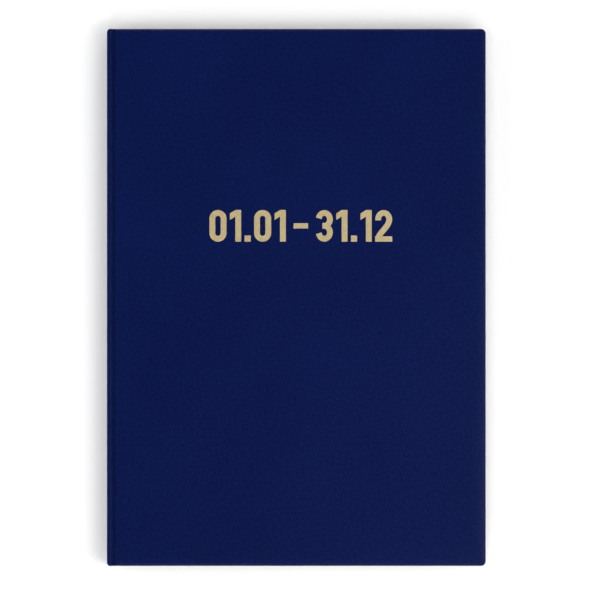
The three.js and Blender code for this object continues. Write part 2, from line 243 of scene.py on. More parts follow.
def build_body(name: str, *lofts: list[list[Point]]) -> bpy.types.Object:
    """Makes a piece of closed bodies, each with flat ends.

    Args:
        name: Name of the piece.
        *lofts: The rings of each body, with the same number of points.

    Returns:
        The new object.
    """
    surface = Surface()
    for rings in lofts:
        base, width = len(surface.points), len(rings[0])
        surface.add_rows(rings, closed=True)
        end = len(surface.points)
        surface.faces += [tuple(reversed(range(base, base + width))), tuple(range(end - width, end))]
    return build_object(name, surface, BODY_CREASE)


def face_outward(piece: bpy.types.Object, direction: Vector) -> None:
    """Turns an open sheet so that its face furthest along a direction looks that way.

    Args:
        piece: The sheet.
        direction: The direction that its outer side faces.
    """
    work = bmesh.new()
    work.from_mesh(piece.data)
    work.faces.ensure_lookup_table()
    far = [face.calc_center_median().dot(direction) + 1e-6 * face.calc_area() for face in work.faces]
    if work.faces[far.index(max(far))].normal.dot(direction) < 0:
        bmesh.ops.reverse_faces(work, faces=work.faces)
    work.to_mesh(piece.data)
    work.free()


def build_sheet(name: str, surface: Surface, outward: Vector, thickness: float) -> bpy.types.Object:
    """Makes a sheet, thickened away from its outer side.

    Args:
        name: Name of the piece.
        surface: Points and faces of its outer side.
        outward: The direction that its outer side faces.
        thickness: Thickness in metres.

    Returns:
        The new object.
    """
    piece = build_object(name, surface)
    face_outward(piece, outward)
    solidify = piece.modifiers.new("thickness", "SOLIDIFY")
    solidify.thickness = thickness
    solidify.offset = -1.0
    solidify.use_even_offset = False
    graph = bpy.context.evaluated_depsgraph_get()
    made = bpy.data.meshes.new_from_object(piece.evaluated_get(graph))
    piece.modifiers.clear()
    old = piece.data
    piece.data = made
    bpy.data.meshes.remove(old)
    made.name = piece.name
    mark_creases(made, SHEET_CREASE)
    return piece


def dress_nodes(start: str, finish: bpy.types.Material) -> None:
    """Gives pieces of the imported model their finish.

    Args:
        start: What their names start with.
        finish: Their material.
    """
    for node in (node for name, node in frame["nodes"].items() if name.startswith(start)):
        if not node.material_slots:
            node.data.materials.append(None)
        for place in node.material_slots:
            place.link = "OBJECT"
            place.material = finish


@dataclass(frozen=True)
class Grain:
    """Noise: size of a grain in metres, octaves of detail, and strength of the finer octaves."""

    size: float
    detail: float
    roughness: float = 0.6


class NodeBoard:
    """A material's nodes, added and linked one by one."""

    def __init__(self, name: str) -> None:
        """Starts a material with only an output and a surface shader.

        Args:
            name: Name of the material.
        """
        self.material = bpy.data.materials.new(name)
        self.material.use_nodes = True
        self.tree = self.material.node_tree
        self.tree.nodes.clear()
        output = self.tree.nodes.new("ShaderNodeOutputMaterial")
        self.shader = self.tree.nodes.new("ShaderNodeBsdfPrincipled")
        self.tree.links.new(self.shader.outputs["BSDF"], output.inputs["Surface"])

    def fill(self, target: Socket, value: Value) -> None:
        """Links an output to an input, or sets a plain number or colour on it.

        Args:
            target: The input.
            value: The output, number or colour.
        """
        if isinstance(value, Socket):
            self.tree.links.new(value, target)
        else:
            target.default_value = (*value, 1.0) if isinstance(value, tuple) else value

    def node(self, kind: str, inputs: dict[str | int, Value], **settings: str) -> bpy.types.Node:
        """Adds a node.

        Args:
            kind: Node type without its leading words.
            inputs: Its inputs, linked or plain.
            **settings: Properties of the node.

        Returns:
            The node.
        """
        made = self.tree.nodes.new("ShaderNode" + kind)
        for name, value in settings.items():
            setattr(made, name, value)
        for name, value in inputs.items():
            self.fill(made.inputs[name], value)
        return made

    def finish(self, **inputs: Value) -> bpy.types.Material:
        """Fills inputs of the surface shader, and hands over the material.

        Args:
            **inputs: The inputs, linked or plain; an underscore in a name stands for a space.

        Returns:
            The material.
        """
        for name, value in inputs.items():
            self.fill(self.shader.inputs[name.replace("_", " ")], value)
        return self.material

    def rest_place(self) -> Socket:
        """The place at rest of a piece made here."""
        return self.node("Attribute", {}, attribute_name=REST).outputs["Vector"]

    def object_place(self) -> Socket:
        """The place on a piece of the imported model."""
        return self.node("TexCoord", {}).outputs["Object"]

    def split(self, place: Socket) -> dict[str, Socket]:
        """The three values of a place, by their names X, Y and Z."""
        return dict(self.node("SeparateXYZ", {"Vector": place}).outputs.items())

    def noise(self, place: Socket, of: Grain) -> Socket:
        """Noise of that grain, about 0.5 in the middle."""
        inputs = {"Vector": place, "Scale": 1.0 / of.size, "Detail": of.detail, "Roughness": of.roughness}
        return self.node("TexNoise", inputs, noise_dimensions="3D").outputs["Fac"]

    def cells(self, place: Socket, size: float) -> Socket:
        """Distance from the middle of round cells of that size, as on embossed vinyl."""
        inputs = {"Vector": place, "Scale": 1.0 / size, "Smoothness": 0.6}
        return self.node("TexVoronoi", inputs, feature="SMOOTH_F1").outputs["Distance"]

    def math(self, operation: str, *values: Value) -> Socket:
        """One sum on one or two values."""
        return self.node("Math", dict(enumerate(values)), operation=operation).outputs["Value"]

    def spread(self, value: Socket, source: Pair, target: Pair) -> Socket:
        """Maps one range of values to another, and stops at its ends."""
        ends = dict(zip(("From Min", "From Max", "To Min", "To Max"), source + target))
        return self.node("MapRange", {"Value": value, **ends}).outputs["Result"]

    def mix(self, share: Socket, first: Value, second: Value) -> Socket:
        """Mixes two colours.

        Args:
            share: Share of the second.
            first: First colour, linked or plain.
            second: Second colour, linked or plain.

        Returns:
            The mixed colour.
        """
        made = self.node("Mix", {"Factor": share}, data_type="RGBA")
        for socket, colour in zip([s for s in made.inputs if s.type == "RGBA"], (first, second)):
            self.fill(socket, colour)
        return next(s for s in made.outputs if s.type == "RGBA")

    def bump(self, height: Socket, relief: Pair, **under: Socket) -> Socket:
        """The normal of a relief of that height in metres and strength, on a coarser Normal if given."""
        inputs = {"Height": height, "Distance": relief[0], "Strength": relief[1], **under}
        return self.node("Bump", inputs).outputs["Normal"]


@dataclass(frozen=True)
class BookCloth:
    """Dark blue vinyl-coated book cloth with a fine embossed grain."""

    deep: Colour = (0.0007, 0.0043, 0.0434)
    light: Colour = (0.0018, 0.0072, 0.0612)
    mottle: Grain = Grain(1.5 * MM, 4.0, 0.7)
    mottle_tone: Pair = (0.0, 0.72)
    cloud: Grain = Grain(55 * MM, 2.0, 0.5)
    cloud_range: Pair = (0.35, 0.65)
    cloud_tone: Pair = (0.0, 0.28)
    slack: Grain = Grain(9 * MM, 2.0)
    slack_relief: Pair = (0.03 * MM, 0.35)
    press: Grain = Grain(1.2 * MM, 2.0)
    press_relief: Pair = (0.03 * MM, 0.7)
    cell: float = 0.42 * MM
    cell_range: Pair = (0.1, 0.7)
    cell_relief: Pair = (0.035 * MM, 0.55)
    roughness: Pair = (0.32, 0.44)
    gloss: Pair = (0.03, 0.115)

    def build(self) -> bpy.types.Material:
        """Makes the cloth's material."""
        board = NodeBoard("book_cloth")
        place = board.rest_place()
        mottle = board.noise(place, self.mottle)
        cloud = board.noise(place, self.cloud)
        spots = board.spread(mottle, NOISE_RANGE, self.mottle_tone)
        clouds = board.spread(cloud, self.cloud_range, self.cloud_tone)
        cells = board.cells(place, self.cell)
        slack = board.bump(board.noise(place, self.slack), self.slack_relief)
        press = board.bump(board.noise(place, self.press), self.press_relief, Normal=slack)
        return board.finish(
            Base_Color=board.mix(board.math("ADD", spots, clouds), self.deep, self.light),
            Roughness=board.spread(cells, self.cell_range, self.roughness),
            Specular_IOR_Level=board.spread(mottle, NOISE_RANGE, self.gloss),
            Normal=board.bump(cells, self.cell_relief, Normal=press),
            IOR=1.5,
        )


@dataclass(frozen=True)
class Paper:
    """Paper, plain or with a pale squared ruling."""

    name: str
    colour: Colour
    shade: Colour
    ruled: bool = False
    middle: float = 0.0
    fibre: Grain = Grain(0.9 * MM, 5.0, 0.75)
    fibre_tone: Pair = (0.2, 1.0)
    fibre_relief: Pair = (0.012 * MM, 0.5)
    cloud: Grain = Grain(30 * MM, 2.0)
    cloud_tone: Pair = (0.6, 1.0)
    roughness: Pair = (0.78, 0.92)
    ruling: Colour = (0.30, 0.41, 0.62)
    ink: Pair = (0.75, 0.95)
    square: float = 5 * MM
    line: float = 0.16 * MM
    across: float = 95 * MM
    along: float = 137.5 * MM

    def ruled_along(self, board: NodeBoard, value: Socket, reach: float) -> tuple[Socket, Socket]:
        """Where the ruling's lines and its field lie, along one direction.

        Args:
            board: The material.
            value: Distance from the page's middle.
            reach: Half the width of the field.

        Returns:
            1 on a line and 0 between lines, and 1 inside the field and 0 outside.
        """
        step = board.math("FRACT", board.math("ADD", board.math("DIVIDE", value, self.square), 0.5))
        away = board.math("ABSOLUTE", board.math("SUBTRACT", step, 0.5))
        inside = board.math("LESS_THAN", board.math("ABSOLUTE", value), reach + self.line / 2)
        return board.math("LESS_THAN", away, self.line / self.square / 2), inside

    def rule(self, board: NodeBoard, place: Socket, fibre: Socket) -> Socket:
        """Strength of the ruling's ink.

        Args:
            board: The material.
            place: Where it is read.
            fibre: The paper's fibres, which take up the ink unevenly.

        Returns:
            The strength, 0 beside the lines.
        """
        parts = board.split(place)
        x = board.math("SUBTRACT", parts["X"], self.middle)
        lines_x, field_x = self.ruled_along(board, x, self.across)
        lines_y, field_y = self.ruled_along(board, parts["Y"], self.along)
        lines = board.math("MAXIMUM", lines_x, lines_y)
        drawn = board.math("MULTIPLY", lines, board.math("MULTIPLY", field_x, field_y))
        return board.math("MULTIPLY", drawn, board.spread(fibre, NOISE_RANGE, self.ink))

    def build(self) -> bpy.types.Material:
        """Makes the paper's material."""
        board = NodeBoard(self.name)
        place = board.rest_place()
        fibre = board.noise(place, self.fibre)
        fibres = board.spread(fibre, NOISE_RANGE, self.fibre_tone)
        clouds = board.spread(board.noise(place, self.cloud), NOISE_RANGE, self.cloud_tone)
        colour = board.mix(board.math("MULTIPLY", fibres, clouds), self.colour, self.shade)
        if self.ruled:
            colour = board.mix(self.rule(board, place, fibre), colour, self.ruling)
        return board.finish(
            Base_Color=colour,
            Roughness=board.spread(fibre, NOISE_RANGE, self.roughness),
            Normal=board.bump(fibre, self.fibre_relief),
            Specular_IOR_Level=0.25,
        )


@dataclass(frozen=True)
class GreyBoard:
    """Uncoated grey board, pressed from waste paper."""

    colour: Colour = (0.30, 0.285, 0.25)
    speck: Colour = (0.16, 0.15, 0.13)
    speck_range: Pair = (0.35, 0.75)
    speck_tone: Pair = (0.0, 0.8)
    fibre: Grain = Grain(0.5 * MM, 5.0, 0.8)
    fibre_relief: Pair = (0.04 * MM, 0.6)
    roughness: Pair = (0.85, 0.97)

    def build(self) -> bpy.types.Material:
        """Makes the board's material."""
        board = NodeBoard("grey_board")
        fibre = board.noise(board.object_place(), self.fibre)
        specks = board.spread(fibre, self.speck_range, self.speck_tone)
        return board.finish(
            Base_Color=board.mix(specks, self.colour, self.speck),
            Roughness=board.spread(fibre, NOISE_RANGE, self.roughness),
            Normal=board.bump(fibre, self.fibre_relief),
        )


@dataclass(frozen=True)
class SewingThread:
    """Twisted sewing thread, with shade painted into the grooves between its plies."""

    colour: Colour = (0.80, 0.78, 0.70)
    # painted shade: the colour of the grooves between the plies, where the relief dips
    shade: Colour = (0.52, 0.49, 0.41)
    twist: float = 0.45 * MM
    ply_relief: Pair = (0.05 * MM, 0.8)
    roughness: Pair = (0.9, 0.7)

    def build(self) -> bpy.types.Material:
        """Makes the thread's material."""
        board = NodeBoard("sewing_thread")
        inputs = {"Scale": 0.5 / self.twist, "Vector": board.object_place()}
        ply = board.node("TexWave", inputs, wave_type="BANDS", bands_direction="DIAGONAL").outputs["Fac"]
        return board.finish(
            # painted shade: darker where the ply relief dips, lighter on the ply crests
            Base_Color=board.mix(ply, self.shade, self.colour),
            Roughness=board.spread(ply, WHOLE, self.roughness),
            Normal=board.bump(ply, self.ply_relief),
        )


@dataclass(frozen=True)
class Gauze:
    """Open-weave gauze, stiff with dried glue, with shade painted into the pits of its weave."""

    colour: Colour = (0.66, 0.60, 0.47)
    # painted shade: the colour of the pits of the weave, where the relief dips
    shade: Colour = (0.34, 0.30, 0.22)
    pitch: float = 1.1 * MM
    tone_range: Pair = (0.6, 1.0)
    wear_range: Pair = (0.5, 1.0)
    thread_relief: Pair = (0.12 * MM, 0.7)
    roughness: Pair = (0.9, 0.75)

    def build(self) -> bpy.types.Material:
        """Makes the gauze's material."""
        board = NodeBoard("spine_gauze")
        parts = board.split(board.rest_place())
        turns = [board.math("MULTIPLY", parts[axis], math.pi / self.pitch) for axis in "YZ"]
        weave = board.math("MAXIMUM", *(board.math("ABSOLUTE", board.math("SINE", turn)) for turn in turns))
        return board.finish(
            # painted shade: darker where the weave relief dips, lighter on the threads
            Base_Color=board.mix(board.spread(weave, self.tone_range, WHOLE), self.shade, self.colour),
            Roughness=board.spread(weave, self.wear_range, self.roughness),
            Normal=board.bump(weave, self.thread_relief),
        )


@dataclass(frozen=True)
class GoldFoil:
    """Matte gold foil, hot-stamped into the grain of the cloth."""

    gold: Colour = (0.475, 0.365, 0.166)
    pale: Colour = (0.610, 0.502, 0.292)
    speckle: Grain = Grain(0.7 * MM, 4.0, 0.75)
    cell: float = 0.42 * MM
    cell_relief: Pair = (0.03 * MM, 0.5)
    roughness: Pair = (0.36, 0.52)

    def build(self) -> bpy.types.Material:
        """Makes the foil's material."""
        board = NodeBoard("gold_foil")
        place = board.object_place()
        speckle = board.noise(place, self.speckle)
        return board.finish(
            Base_Color=board.mix(board.spread(speckle, NOISE_RANGE, WHOLE), self.gold, self.pale),
            Roughness=board.spread(speckle, NOISE_RANGE, self.roughness),
            Normal=board.bump(board.cells(place, self.cell), self.cell_relief),
            Metallic=0.45,
            Specular_IOR_Level=0.5,
        )


def make_finishes(page_middle: float) -> dict[Slot, bpy.types.Material]:
    """Makes the finish of every slot.

    Args:
        page_middle: Middle of the page across the book.

    Returns:
        The materials by their slots.
    """
    plain = Paper("endpaper", (0.71, 0.695, 0.655), (0.66, 0.645, 0.60))
    ruled = Paper("page_paper", (0.74, 0.735, 0.715), (0.70, 0.69, 0.668), ruled=True, middle=page_middle)
    finishes = {
        Slot.CLOTH: BookCloth(),
        Slot.ENDPAPER: plain,
        Slot.PAGE: ruled,
        Slot.BOARD: GreyBoard(),
        Slot.THREAD: SewingThread(),
        Slot.LINING: Gauze(),
        Slot.FOIL: GoldFoil(),
    }
    return {slot: finish.build() for slot, finish in finishes.items()}


@dataclass
class Layout:
    """Places of the book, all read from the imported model."""

    spine_face: float
    fore_edge: float
    head: float
    spine_tail: float
    top: float
    turn_in_top: float
    seam: float
    strip_inner: float
    block_back: float
    block_fore: float
    block_head: float
    cloth: float
    paper: float
    paste_rim: float
    paste_sunk: float

    @classmethod
    def read(cls) -> "Layout":
        """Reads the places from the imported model's nodes."""
        cloth_low, cloth_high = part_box("back_cover_cloth")
        board_low, board_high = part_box("back_board")
        joint_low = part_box("back_joint_cloth")[0]
        section_low, section_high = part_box("section_1")
        fly_low, fly_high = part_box("back_flyleaf")
        paper = fly_high.z - fly_low.z
        return cls(
            spine_face=joint_low.x,
            fore_edge=cloth_high.x,
            head=cloth_high.y,
            spine_tail=joint_low.y,
            top=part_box("front_cover_cloth")[1].z,
            turn_in_top=cloth_high.z,
            seam=board_low.x + SEAM_FROM_BOARD,
            strip_inner=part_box("spine_strip")[1].x,
            block_back=section_low.x,
            block_fore=section_high.x,
            block_head=section_high.y,
            cloth=board_low.z - cloth_low.z - GLUE,
            paper=paper,
            paste_rim=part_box("back_pastedown")[1].z,
            paste_sunk=board_high.z + GLUE + paper,
        )

    def paste_depth(self, x: float, y: float) -> float:
        """Depth of the pastedown's face: high over the turned-in cloth, low on the board.

        Args:
            x: Place across the book.
            y: Place along the book.

        Returns:
            The depth below the cover's outer face.
        """
        past = max(x - (self.fore_edge - TURN_IN), abs(y) - (self.head - TURN_IN))
        share = (past - PASTE_RIDGE[0]) / (PASTE_RIDGE[1] - PASTE_RIDGE[0])
        return self.paste_sunk + (self.paste_rim - self.paste_sunk) * ease(share)

    def steps_over_turn_in(self, reach: float) -> list[float]:
        """Places along a pasted sheet of half that length, from the tail to the head."""
        half = over_ridge(0.0, self.head - TURN_IN, reach, 8)
        return [-y for y in reversed(half[1:])] + half

    def level(self, side: Side, depth: float) -> float:
        """Height of a place that lies a depth below one cover's outer face."""
        return depth if side is Side.BACK else self.top - depth


@dataclass(frozen=True)
class Bend:
    """Two bodies that a piece joins, and between which places it bends."""

    first: str
    second: str
    start: Point
    end: Point


@dataclass
class SubAssembly:
    """Pieces that are placed by the book's layout and dressed with its finishes."""

    layout: Layout
    finishes: dict[Slot, bpy.types.Material]

    def fit(self, piece: bpy.types.Object, slot: Slot, node: str, follows: str | Bend) -> bpy.types.Object:
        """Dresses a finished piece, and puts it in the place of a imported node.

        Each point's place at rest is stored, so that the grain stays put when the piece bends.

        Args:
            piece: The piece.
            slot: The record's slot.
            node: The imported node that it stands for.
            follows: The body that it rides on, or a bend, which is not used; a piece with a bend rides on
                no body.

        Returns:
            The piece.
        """
        places = piece.data.attributes.new(REST, "FLOAT_VECTOR", "POINT")
        places.data.foreach_set("vector", [value for vertex in piece.data.vertices for value in vertex.co])
        piece.data.materials.clear()
        piece.data.materials.append(self.finishes[slot])
        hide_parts(node)
        if isinstance(follows, Bend):
            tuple(follows.start)
            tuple(follows.end)
            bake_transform(piece)
        else:
            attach(piece, follows)
        return piece


@dataclass(frozen=True)
class Fall:
    """A slope towards a cover's edge, steepest at the edge."""

    reach: float
    lean: float
    power: float

    @property
    def slope(self) -> float:
        """Rise over run at the edge."""
        return math.tan(math.radians(self.lean))

    def depth(self, inset: float, end: float) -> float:
        """How deep the slope lies at a distance from the cover's edge.

        Args:
            inset: The distance.
            end: Distance at which the slope ends.

        Returns:
            The depth below the flat face.
        """
        width = self.reach - end
        share = max((self.reach - inset) / width, 0.0)
        return self.slope * width / (self.power + 1) * share ** (self.power + 1)


@dataclass
class CoverShell(SubAssembly):
    """One cover: its cloth, drawn over the board and turned in, and its pastedown."""

    side: Side
    corner: float = 2.5 * MM
    soft_fall: Fall = Fall(9.0 * MM, 7.5, 1.6)
    crushed_fall: Fall = Fall(2.2 * MM, 23.0, 2.0)
    fall_end: float = 0.5 * MM
    field_margin: float = 0.6 * MM
    hinge_bevel: Pair = (0.6 * MM, 0.25 * MM)
    board_depth: float = 2.14 * MM
    inner_edge: Pair = (1.1 * MM, 0.8 * MM)
    across_steps: int = 14
    along_steps: int = 20

    @property
    def body(self) -> str:
        """The body that this cover belongs to."""
        return (Body.BACK_COVER if self.side is Side.BACK else Body.FRONT_COVER).value

    def outline(self, inset: float, depth: float) -> list[Point]:
        """The cover's edge from hinge to hinge round the fore-edge, drawn inwards.

        Args:
            inset: How far it is drawn inwards.
            depth: Depth below the outer face.

        Returns:
            Points from the hinge side at the tail to the hinge side at the head.
        """
        z = self.layout.level(self.side, depth)
        fore, head = self.layout.fore_edge - inset, self.layout.head - inset
        radius = max(self.corner - inset, 0.0)
        line = [(x, -head) for x in spaced(self.layout.seam, fore - radius, self.across_steps)]
        line += quarter((fore - radius, -head + radius), (radius, radius), 270)
        line += [(fore, y) for y in spaced(-head + radius, head - radius, self.along_steps)]
        line += quarter((fore - radius, head - radius), (radius, radius), 0)
        line += [(x, head) for x in spaced(fore - radius, self.layout.seam, self.across_steps)]
        return [(x, y, z) for x, y in line]

    def softened_edge(self) -> list[Pair]:
        """Line of the outer face's crushed edge: a wide soft fall, a steeper one, then a tight turn.

        Returns:
            Inset and depth, from the cover's edge to its flat face.
        """
        falls, end, crushed = (self.soft_fall, self.crushed_fall), self.fall_end, self.crushed_fall.reach
        places = spaced(end, crushed)[:-1] + spaced(crushed, self.soft_fall.reach)
        line = [(inset, sum(fall.depth(inset, end) for fall in falls)) for inset in places]
        lean = math.atan(sum(fall.slope for fall in falls))
        radius = end / (1 - math.sin(lean))
        centre = line[0][1] + radius * math.cos(lean)
        turn = spaced(math.pi / 2, lean)[:-1]
        return [(radius - radius * math.sin(a), centre - radius * math.cos(a)) for a in turn] + line

    def build_board(self) -> bpy.types.Object:
        """Makes the board under the cloth, with the same crushed edge."""
        node = f"{self.side.value}_board"
        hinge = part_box(node)[0].x
        gap = self.layout.cloth + GLUE
        width, rise = self.hinge_bevel
        steps = [(gap, self.board_depth)]
        steps += [(inset + gap, depth + gap) for inset, depth in self.softened_edge()]
        rings = []
        for inset, depth in steps:
            edge = hinge + width * max(1 - (depth - gap) / rise, 0.0)
            line = self.outline(inset, depth)
            rings.append([(edge if x <= self.layout.seam + 2 * WELD else x, y, z) for x, y, z in line])
        return self.fit(build_body(f"{node}_pressed", rings), Slot.BOARD, node, self.body)

    def build_cloth(self) -> bpy.types.Object:
        """Makes the cloth, from the turn-in's cut edge round to the outer face."""
        node = f"{self.side.value}_cover_cloth"
        layout, last = self.layout, self.soft_fall.reach + self.field_margin
        width, rise = self.inner_edge
        inner = quarter((width, rise), (-width, -rise), 0)[::-1]
        steps = [(TURN_IN, layout.turn_in_top)]
        steps += [(inset, layout.turn_in_top - below) for inset, below in inner]
        steps += self.softened_edge() + [(last, 0.0)]
        surface = Surface()
        surface.add_rows([self.outline(inset, depth) for inset, depth in steps])
        z = layout.level(self.side, 0.0)
        across = spaced(layout.seam, layout.fore_edge - last, self.across_steps)
        along = spaced(-layout.head + last, layout.head - last, self.along_steps)
        surface.add_rows([[(x, y, z) for x in across] for y in along])
        piece = build_sheet(f"{node}_skin", surface, self.side.outward, layout.cloth * STRETCHED)
        return self.fit(piece, Slot.CLOTH, node, self.body)

    def build_pastedown(self) -> bpy.types.Object:
        """Makes the pasted half of the endpaper, with the ridge of the turned-in cloth under it."""
        node = f"{self.side.value}_pastedown"
        layout = self.layout
        low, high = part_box(node)
        across = over_ridge(low.x, layout.fore_edge - TURN_IN, high.x, 12)
        surface = Surface()
        surface.add_rows([
            [(x, y, layout.level(self.side, layout.paste_depth(x, y))) for x in across]
            for y in layout.steps_over_turn_in(high.y)
        ])
        piece = build_sheet(f"{node}_sheet", surface, -self.side.outward, layout.paper)
        return self.fit(piece, Slot.ENDPAPER, node, self.body)

    def build(self) -> list[bpy.types.Object]:
        """Makes the cover's pieces."""
        return [self.build_board(), self.build_cloth(), self.build_pastedown()]


@dataclass
class SpineCase(SubAssembly):
    """The spine's cloth and strip, and the cloth hinges in the grooves."""

    shoulder: float = 1.0 * MM
    strip_edge: float = 0.6 * MM
    groove_depth: float = 1.05 * MM
    groove_width: float = 2.5 * MM
    floor_bend: float = 0.4 * MM
    rise: Pair = (-0.35 * MM, 0.30 * MM)
    corner: float = 1.85 * MM
    corner_gap: float = 0.2 * MM
    corner_fade: float = 3 * MM
    full_length_from: Pair = (2.3 * MM, 3.1 * MM)
    shoulder_split: float = 1.45 * MM
    end_bend: float = 0.36 * MM
    cap_bend: float = 0.6 * MM
    cap_margin: float = 0.45 * MM
    cap_length: float = 2 * MM
    flap_margin: float = 2.3 * MM
    strip_play: float = 0.08 * MM
    strip_inner_corner: float = 0.3 * MM
    strip_bevel: float = 0.2 * MM
    along_steps: int = 24

    def profile(self) -> list[Pair]:
        """Outer line of the joint, as distance from the spine's face and depth below the cover's face.

        Returns:
            Points from the spine's face over the shoulder and through the groove to the board.
        """
        near = self.layout.strip_inner - self.layout.spine_face + self.layout.cloth + GLUE
        r, s, f, depth = self.shoulder, self.strip_edge, self.floor_bend, self.groove_depth
        line = quarter((r, r), (-r, -r), 0)
        line += quarter((near - s, s), (s, s), 270)
        line += quarter((near + f, depth - f), (-f, f), 0)
        start, end = (near + self.groove_width + edge for edge in self.rise)
        for share in spaced(0.0, 1.0, 2 * ARC_STEPS):
            line.append((start + (end - start) * share, depth * (1 - ease(share))))
        return line + [(self.layout.seam - self.layout.spine_face, 0.0)]

    def plan_inset(self, back: float) -> float:
        """How far the spine's rounded corner draws its face in, at a distance from the spine's end."""
        rest = max(self.corner - back, 0.0)
        return self.corner - math.sqrt(max(self.corner ** 2 - rest ** 2, 0.0))

    def end_of(self, end: float, u: float) -> float:
        """Where the joint ends: the shoulder with the spine, the groove with the covers.

        Args:
            end: 1 at the head, -1 at the tail.
            u: Distance from the spine's face.

        Returns:
            Distance of the end from the book's middle.
        """
        if end > 0:
            return self.layout.head
        start, full = self.full_length_from
        short = -self.layout.spine_tail
        return short + (self.layout.head - short) * ease((u - start) / (full - start))

    def fold(self, start: float, end: float) -> list[Pair]:
        """How far back and inwards the end's fold lies, between two shares of its half turn."""
        turn = spaced(start * math.pi, end * math.pi, FOLD_STEPS)
        return [(self.end_bend * (1 - math.sin(a)), self.end_bend * (1 - math.cos(a))) for a in turn]

    def place(self, side: Side, station: Station, at: Pair, normal: Pair) -> Point:
        """A point of a joint's sheet.

        Args:
            side: Which cover the joint belongs to.
            station: The end (1 at the head, -1 at the tail, 0 between), the distance from it, or from the
                book's middle, and how far inwards the sheet is bent there.
            at: Distance from the spine's face and depth on the outer line.
            normal: Inward direction of the outer line.

        Returns:
            The point.
        """
        end, back, inward = station
        u, depth = at
        y = back if end == 0 else end * (self.end_of(end, u) - back)
        round_from = back if inward < self.end_bend else 0.0
        inset = 0.0 if end == 0 else self.plan_inset(round_from) * max(1 - u / self.corner_fade, 0.0)
        x = self.layout.spine_face + u + normal[0] * inward + inset
        return (x, y, self.layout.level(side, depth + normal[1] * inward))

    def stations(self) -> list[Station]:
        """Where the joint's sheet has its points along the book, from the tail's fold to the head's.

        Returns:
            The end, the distance from it, or from the book's middle, and how far inwards it is bent.
        """
        corner = [self.corner * (1 - math.cos(a)) for a in spaced(math.pi / 2, 0.0)]
        at_end = [(back, 0.0) for back in corner if back > self.end_bend] + self.fold(0.0, 0.75)
        reach = -self.layout.spine_tail - self.corner - self.corner_gap
        line = [(-1, *step) for step in reversed(at_end)]
        line += [(0, y, 0.0) for y in spaced(-reach, reach, self.along_steps)]
        return line + [(1, *step) for step in at_end]

    def joint_sheet(self, name: str, side: Side, line: list[Pair]) -> bpy.types.Object:
        """Runs a part of the joint's outer line along the book, with both ends bent inwards.

        Args:
            name: Name of the piece.
            side: Which cover the joint belongs to.
            line: Part of the outer line.

        Returns:
            The piece, thickened.
        """
        columns = []
        for i, at in enumerate(line):
            before, after = line[max(i - 1, 0)], line[min(i + 1, len(line) - 1)]
            along = Vector((after[0] - before[0], after[1] - before[1])).normalized()
            columns.append((at, (-along.y, along.x) if at[0] < self.shoulder else (0.0, 1.0)))
        surface = Surface()
        surface.add_rows([[self.place(side, step, *col) for col in columns] for step in self.stations()])
        sunk = [column for column in columns if column[0][1] > self.groove_depth - 2 * WELD]
        turned = self.fold(0.75, 1.0) + [(TURN_IN, 2 * self.end_bend)]
        for end in (-1, 1) if len(sunk) > 1 else ():
            surface.add_rows([[self.place(side, (end, *step), *col) for col in sunk] for step in turned])
        piece = build_sheet(name, surface, side.outward, self.layout.cloth * STRETCHED_IN_JOINT)
        for vertex in piece.data.vertices:
            reach = self.end_of(math.copysign(1, vertex.co.y), vertex.co.x - self.layout.spine_face)
            vertex.co.y = min(max(vertex.co.y, -reach), reach)
        return piece

    def bend(self, side: Side, bodies: tuple[Body, Body], start: Pair, end: Pair) -> Bend:
        """The bend of a joint.

        Args:
            side: Which cover the joint belongs to.
            bodies: The two bodies that it joins.
            start: Where it starts: distance from the spine's face and depth below the cover's face.
            end: Where it ends.

        Returns:
            The bend, in the book's frame.
        """
        face, level = self.layout.spine_face, self.layout.level
        places = [(face + u, 0.0, level(side, depth)) for u, depth in (start, end)]
        return Bend(bodies[0].value, bodies[1].value, *places)

    def build_joints(self) -> list[bpy.types.Object]:
        """Makes the two joints: the front one in two pieces, because it bends at two places."""
        line = self.profile()
        cut = next(i for i, (u, _) in enumerate(line) if u >= self.shoulder_split)
        front, back = Side.FRONT, Side.BACK
        shoulder = self.bend(front, (Body.SPINE, Body.FRONT_HINGE), (0.0, 1.25 * MM), (1.3 * MM, 0.0))
        groove = self.bend(front, (Body.FRONT_HINGE, Body.FRONT_COVER), (2.2 * MM, 0.0), (5.4 * MM, 0.0))
        whole = self.bend(back, (Body.BACK_COVER, Body.SPINE), (2.6 * MM, 0.0), (0.9 * MM, 0.0))
        joints = (
            ("front_shoulder_cloth", front, line[: cut + 1], "front_joint_cloth", shoulder),
            ("front_groove_cloth", front, line[cut:], "front_joint_cloth", groove),
            ("back_joint_cloth_skin", back, line, "back_joint_cloth", whole),
        )
        return [
            self.fit(self.joint_sheet(name, side, part), Slot.CLOTH, node, bend)
            for name, side, part, node, bend in joints
        ]

    def wrap_path(self, end: float, sign: int) -> list[Point]:
        """Path of the cloth over one end of the strip, from its turned-in flap to the spine's face.

        Args:
            end: Where the spine ends.
            sign: 1 at the head, -1 at the tail.

        Returns:
            Place across, place along and margin at top and bottom of each step.
        """
        inner = self.layout.strip_inner + self.layout.cloth + GLUE
        outer, r, q = self.layout.spine_face, self.cap_bend, self.corner
        flap, cap, face = self.flap_margin, self.cap_margin, self.shoulder
        path = [(inner, end - sign * TURN_IN, flap), (inner, end - sign * r, flap)]
        for a in spaced(0.1, math.pi / 2, FOLD_STEPS):
            margin = flap + (cap - flap) * math.sin(a)
            path.append((inner - r + r * math.cos(a), end - sign * (r - r * math.sin(a)), margin))
        for a in spaced(0.0, math.pi / 2):
            margin = cap + (face - cap) * math.sin(a)
            path.append((outer + q - q * math.sin(a), end - sign * (q - q * math.cos(a)), margin))
        return path

